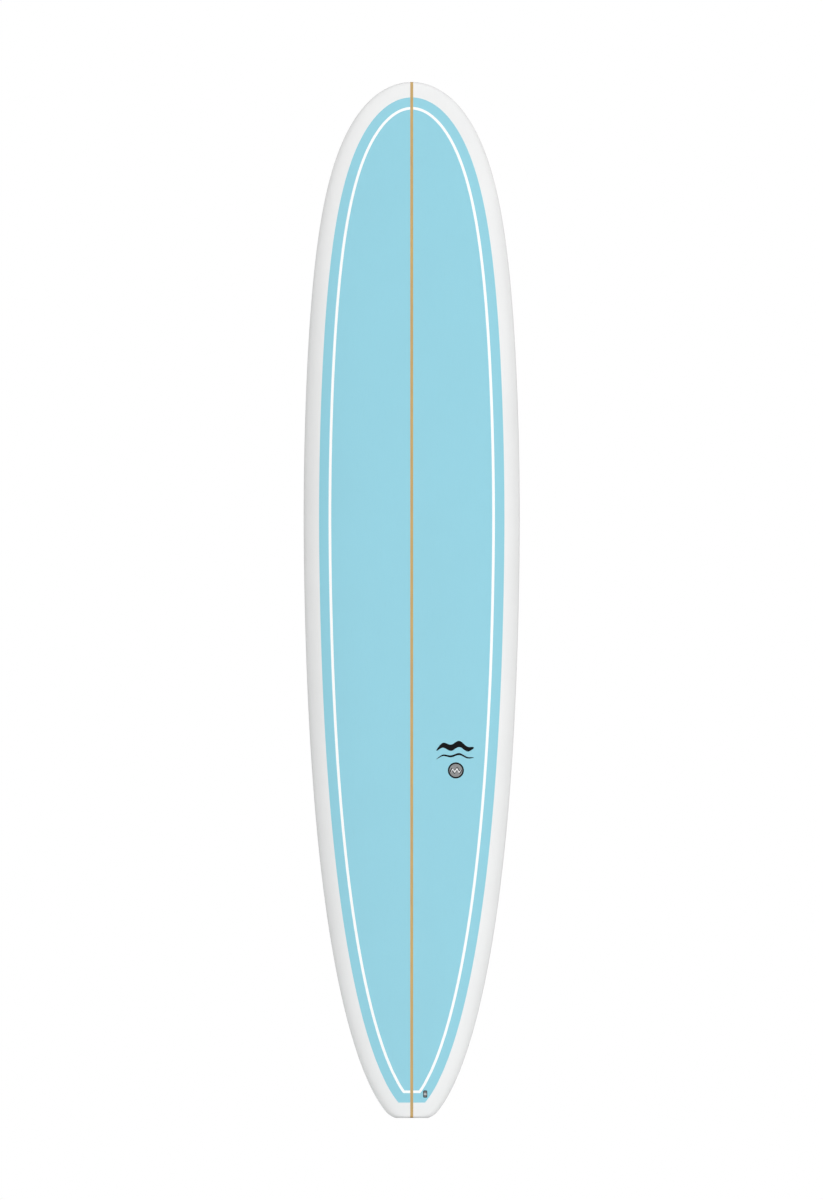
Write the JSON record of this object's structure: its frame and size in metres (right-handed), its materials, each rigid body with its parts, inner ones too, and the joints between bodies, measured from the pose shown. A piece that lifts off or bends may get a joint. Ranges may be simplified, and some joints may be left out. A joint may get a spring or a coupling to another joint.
{
  "type": "surfboard",
  "caption": "Longboard surfboard with a rounded nose, squared tail, wood stringer, tinted deck inlay with pinline, slotted centre fin box and side fin boxes with removable fins.",
  "frame": {"origin": "centre of the tail's flat end face", "axes": "+Z runs from the tail to the nose, +X across the board to the right as seen from the deck with the nose up, and the deck faces -Y"},
  "size_m": [0.5776, 0.2631, 2.769],
  "materials": {
    "foam": "matte",
    "stringer_wood": "satin",
    "clear_glass": "gloss",
    "inlay_cloth": "gloss",
    "pinline": "gloss",
    "dark_print": "gloss",
    "grey_print": "gloss",
    "box_plastic": "satin",
    "brass": "satin",
    "fin_resin": "gloss",
    "steel": "satin"
  },
  "bodies": {
    "board": {"blank_left": "foam", "blank_right": "foam", "stringer": "stringer_wood", "bottom_glass": "clear_glass", "deck_glass": "clear_glass", "inlay_left": "inlay_cloth", "inlay_right": "inlay_cloth", "pinline_left": "pinline", "pinline_right": "pinline", "wave_decal": "dark_print", "emblem_decal": "grey_print", "tail_label": "grey_print", "centre_fin_box": "box_plastic", "leash_bar": "brass", "side_fin_box_left": "box_plastic", "side_fin_box_right": "box_plastic"},
    "centre_fin": {"centre_fin": "fin_resin", "fin_pin": "brass", "fin_plate": "steel"},
    "fin_screw": {"fin_screw": "steel"},
    "side_fin_left": {"side_fin_left": "fin_resin"},
    "side_fin_right": {"side_fin_right": "fin_resin"},
    "front_screw_left": {"front_screw_left": "steel"},
    "rear_screw_left": {"rear_screw_left": "steel"},
    "front_screw_right": {"front_screw_right": "steel"},
    "rear_screw_right": {"rear_screw_right": "steel"}
  },
  "joints": [
    {"name": "centre_fin_slide", "type": "slide", "parent": "board", "child": "centre_fin", "axis": [0, 0.072, 0.9974], "range_m": [-0.04, 0.04]},
    {"name": "fin_screw_turn", "type": "hinge", "parent": "centre_fin", "child": "fin_screw", "pos_m": [0, 0.0337, 0.30047], "axis": [0, 0.9974, -0.072], "continuous": true},
    {"name": "side_fin_left_lift", "type": "slide", "parent": "board", "child": "side_fin_left", "axis": [0, 0.9974, -0.072], "range_m": [0, 0.03]},
    {"name": "side_fin_right_lift", "type": "slide", "parent": "board", "child": "side_fin_right", "axis": [0, 0.9974, -0.072], "range_m": [0, 0.03]},
    {"name": "front_screw_left_turn", "type": "hinge", "parent": "board", "child": "front_screw_left", "pos_m": [-0.13568, 0.04343, 0.43518], "axis": [0.422, 0.9024, -0.0873], "continuous": true},
    {"name": "rear_screw_left_turn", "type": "hinge", "parent": "board", "child": "rear_screw_left", "pos_m": [-0.13945, 0.03825, 0.36347], "axis": [0.422, 0.9024, -0.0873], "continuous": true},
    {"name": "front_screw_right_turn", "type": "hinge", "parent": "board", "child": "front_screw_right", "pos_m": [0.13568, 0.04343, 0.43518], "axis": [-0.422, 0.9024, -0.0873], "continuous": true},
    {"name": "rear_screw_right_turn", "type": "hinge", "parent": "board", "child": "rear_screw_right", "pos_m": [0.13945, 0.03825, 0.36347], "axis": [-0.422, 0.9024, -0.0873], "continuous": true}
  ]
}
